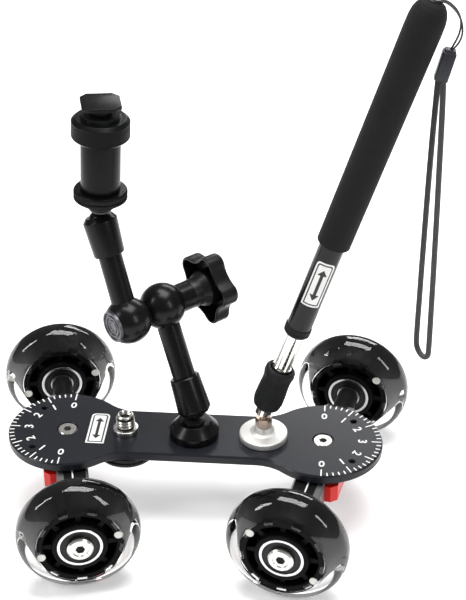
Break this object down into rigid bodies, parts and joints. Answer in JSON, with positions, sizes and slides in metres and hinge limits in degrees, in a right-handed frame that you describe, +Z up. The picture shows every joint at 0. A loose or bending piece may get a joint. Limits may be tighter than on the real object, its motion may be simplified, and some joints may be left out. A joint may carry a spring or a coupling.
{
  "type": "camera slider",
  "caption": "Table-top camera dolly: dog-bone deck on swivelling wheel trucks, camera stud, jointed arm with shoe adapter, and telescopic push handle with wrist strap.",
  "frame": {"origin": "On the floor under the middle of the deck plate, which is also the middle of the whole object's footprint to about 2 mm", "axes": "+Z up, +X along the deck from the camera stud towards the push handle, +Y to the rear, away from the side that the deck's label faces"},
  "size_m": [0.23, 0.1636, 0.2782],
  "materials": {
    "black_anodised": "semi-gloss black anodised",
    "grey_aluminium": "satin bead-blasted",
    "red_anodised": "satin red anodised",
    "black_metal": "semi-gloss black",
    "black_knurled": "satin black, knurled rims",
    "bright_steel": "bright turned",
    "bearing_steel": "ground",
    "chrome": "polished",
    "cap_metal": "satin",
    "brass": "dull",
    "ring_plastic": "matte",
    "black_plastic": "moulded, satin",
    "gloss_black": "gloss",
    "clear_urethane": "cloudy clear",
    "black_rubber": "textured",
    "foam": "closed-cell foam",
    "cord": "braided"
  },
  "bodies": {
    "deck": {"deck_plate": "black_anodised", "arm_base": "black_metal", "lower_ball_stud": "black_metal"},
    "stud_screw": {"camera_stud": "bright_steel", "stud_thumbwheel": "black_plastic"},
    "truck_l": {"truck_beam_l": "grey_aluminium", "side_block_l": "red_anodised", "pivot_screw_l": "bright_steel", "axle_bolts_l": "bright_steel", "axle_spacers_l": "black_plastic", "inner_races_l": "bearing_steel"},
    "wheel_front_l": {"tyre_front_l": "clear_urethane", "core_front_l": "black_plastic", "outer_races_front_l": "bearing_steel"},
    "wheel_rear_l": {"tyre_rear_l": "clear_urethane", "core_rear_l": "black_plastic", "outer_races_rear_l": "bearing_steel"},
    "truck_r": {"truck_beam_r": "grey_aluminium", "side_block_r": "red_anodised", "pivot_screw_r": "bright_steel", "axle_bolts_r": "bright_steel", "axle_spacers_r": "black_plastic", "inner_races_r": "bearing_steel"},
    "wheel_front_r": {"tyre_front_r": "clear_urethane", "core_front_r": "black_plastic", "outer_races_front_r": "bearing_steel"},
    "wheel_rear_r": {"tyre_rear_r": "clear_urethane", "core_rear_r": "black_plastic", "outer_races_rear_r": "bearing_steel"},
    "lower_ring": {"lower_wear_ring": "ring_plastic"},
    "lower_ball_cup": {"lower_cup": "brass"},
    "lower_arm": {"lower_socket": "black_metal", "lower_tube": "black_metal", "elbow_ball_lower": "black_metal"},
    "lower_rod": {"lower_pushrod": "bright_steel"},
    "knob": {"star_knob": "black_plastic", "knob_bolt": "bright_steel"},
    "upper_arm": {"elbow_ball_upper": "black_metal", "elbow_end_cap": "cap_metal", "upper_tube": "black_metal", "upper_socket": "black_metal"},
    "upper_rod": {"upper_pushrod": "bright_steel"},
    "upper_ball_cup": {"upper_cup": "brass"},
    "upper_ring": {"upper_wear_ring": "ring_plastic"},
    "head": {"upper_ball_stud": "black_metal", "shoe_body": "black_knurled"},
    "lock_flange": {"lock_flange": "black_knurled"},
    "shoe_washer": {"shoe_washer": "black_rubber"},
    "thumb_ring": {"thumb_ring": "black_knurled"},
    "handle_foot": {"handle_disc": "bright_steel", "handle_ball_stud": "brass"},
    "handle_cup": {"handle_socket": "chrome"},
    "handle_rod": {"rubber_sleeve": "black_rubber", "inner_tube": "chrome"},
    "handle_middle": {"middle_tube": "chrome"},
    "handle_grip": {"outer_tube": "gloss_black", "end_ring": "black_plastic", "foam_grip": "foam", "grip_cap": "black_plastic", "strap_string": "cord", "strap_connector": "black_plastic", "wrist_strap": "cord"}
  },
  "joints": [
    {"name": "stud_screw_spin", "type": "hinge", "parent": "deck", "child": "stud_screw", "pos_m": [-0.035, 0, 0.04], "axis": [0, 0, 1], "continuous": true},
    {"name": "truck_l_swivel", "type": "hinge", "parent": "deck", "child": "truck_l", "pos_m": [-0.065, 0, 0.036], "axis": [0, 0, 1], "range_deg": [-41.5, 14.5]},
    {"name": "wheel_front_l_roll", "type": "hinge", "parent": "truck_l", "child": "wheel_front_l", "pos_m": [-0.04913, -0.06612, 0.03], "axis": [0.2334, -0.9724, 0], "continuous": true},
    {"name": "wheel_rear_l_roll", "type": "hinge", "parent": "truck_l", "child": "wheel_rear_l", "pos_m": [-0.08087, 0.06612, 0.03], "axis": [-0.2334, 0.9724, 0], "continuous": true},
    {"name": "truck_r_swivel", "type": "hinge", "parent": "deck", "child": "truck_r", "pos_m": [0.065, 0, 0.036], "axis": [0, 0, 1], "range_deg": [-16, 40]},
    {"name": "wheel_front_r_roll", "type": "hinge", "parent": "truck_r", "child": "wheel_front_r", "pos_m": [0.05086, -0.06651, 0.03], "axis": [-0.2079, -0.9781, 0], "continuous": true},
    {"name": "wheel_rear_r_roll", "type": "hinge", "parent": "truck_r", "child": "wheel_rear_r", "pos_m": [0.07914, 0.06651, 0.03], "axis": [0.2079, 0.9781, 0], "continuous": true},
    {"name": "arm_pan", "type": "hinge", "parent": "deck", "child": "lower_ring", "pos_m": [0, 0, 0.0585], "axis": [0, 0, 1], "range_deg": [-40, 60]},
    {"name": "arm_tilt", "type": "hinge", "parent": "lower_ring", "child": "lower_ball_cup", "pos_m": [0, 0, 0.0585], "axis": [-0.7071, -0.7071, 0], "range_deg": [-30, 6]},
    {"name": "arm_twist", "type": "hinge", "parent": "lower_ball_cup", "child": "lower_arm", "pos_m": [0, 0, 0.0585], "axis": [-0.3033, 0.3033, 0.9033], "range_deg": [-45, 45]},
    {"name": "lower_rod_slide", "type": "slide", "parent": "lower_arm", "child": "lower_rod", "axis": [-0.3033, 0.3033, 0.9033], "range_m": [0, 0.0005]},
    {"name": "knob_spin", "type": "hinge", "parent": "lower_arm", "child": "knob", "pos_m": [-0.01647, 0.01647, 0.10755], "axis": [0.7417, 0.6703, 0.0239], "range_deg": [0, 540]},
    {"name": "elbow_bend", "type": "hinge", "parent": "lower_arm", "child": "upper_arm", "pos_m": [-0.01647, 0.01647, 0.10755], "axis": [0.7417, 0.6703, 0.0239], "range_deg": [-90, 90]},
    {"name": "upper_rod_slide", "type": "slide", "parent": "upper_arm", "child": "upper_rod", "axis": [0.263, -0.2578, -0.9297], "range_m": [0, 0.0005]},
    {"name": "head_twist", "type": "hinge", "parent": "upper_arm", "child": "upper_ball_cup", "pos_m": [-0.04496, 0.01589, 0.15429], "axis": [-0.263, 0.2578, 0.9297], "range_deg": [-60, 60]},
    {"name": "head_tilt", "type": "hinge", "parent": "upper_ball_cup", "child": "upper_ring", "pos_m": [-0.04496, 0.01589, 0.15429], "axis": [0.6369, 0.7702, -0.0334], "range_deg": [-54, 6]},
    {"name": "head_pan", "type": "hinge", "parent": "upper_ring", "child": "head", "pos_m": [-0.04496, 0.01589, 0.15429], "axis": [0.0523, 0, 0.9986], "range_deg": [-90, 90]},
    {"name": "lock_flange_spin", "type": "hinge", "parent": "head", "child": "lock_flange", "pos_m": [-0.04496, 0.01589, 0.15429], "axis": [0.0523, 0, 0.9986], "continuous": true},
    {"name": "shoe_washer_lift", "type": "slide", "parent": "head", "child": "shoe_washer", "axis": [0.0523, 0, 0.9986], "range_m": [0, 0.0012]},
    {"name": "thumb_ring_spin", "type": "hinge", "parent": "shoe_washer", "child": "thumb_ring", "pos_m": [-0.04496, 0.01589, 0.15429], "axis": [0.0523, 0, 0.9986], "range_deg": [0, 540]},
    {"name": "handle_pan", "type": "hinge", "parent": "deck", "child": "handle_foot", "pos_m": [0.035, 0, 0.042], "axis": [0, 0, 1], "range_deg": [-60, 60]},
    {"name": "handle_tilt", "type": "hinge", "parent": "handle_foot", "child": "handle_cup", "pos_m": [0.035, 0, 0.0585], "axis": [0, 1, 0], "range_deg": [-28, 12]},
    {"name": "handle_twist", "type": "hinge", "parent": "handle_cup", "child": "handle_rod", "pos_m": [0.035, 0, 0.0585], "axis": [0.3123, 0, 0.95], "range_deg": [-90, 90]},
    {"name": "handle_middle_slide", "type": "slide", "parent": "handle_rod", "child": "handle_middle", "axis": [0.3123, 0, 0.95], "range_m": [0, 0.105]},
    {"name": "handle_grip_slide", "type": "slide", "parent": "handle_middle", "child": "handle_grip", "axis": [0.3123, 0, 0.95], "range_m": [0, 0.1]}
  ],
  "couplings": [
    {"joint": "lower_rod_slide", "follows": "knob_spin", "m_per_rad": 0.000053052},
    {"joint": "upper_rod_slide", "follows": "knob_spin", "m_per_rad": 0.000053052},
    {"joint": "shoe_washer_lift", "follows": "thumb_ring_spin", "m_per_rad": 0.00012732}
  ]
}
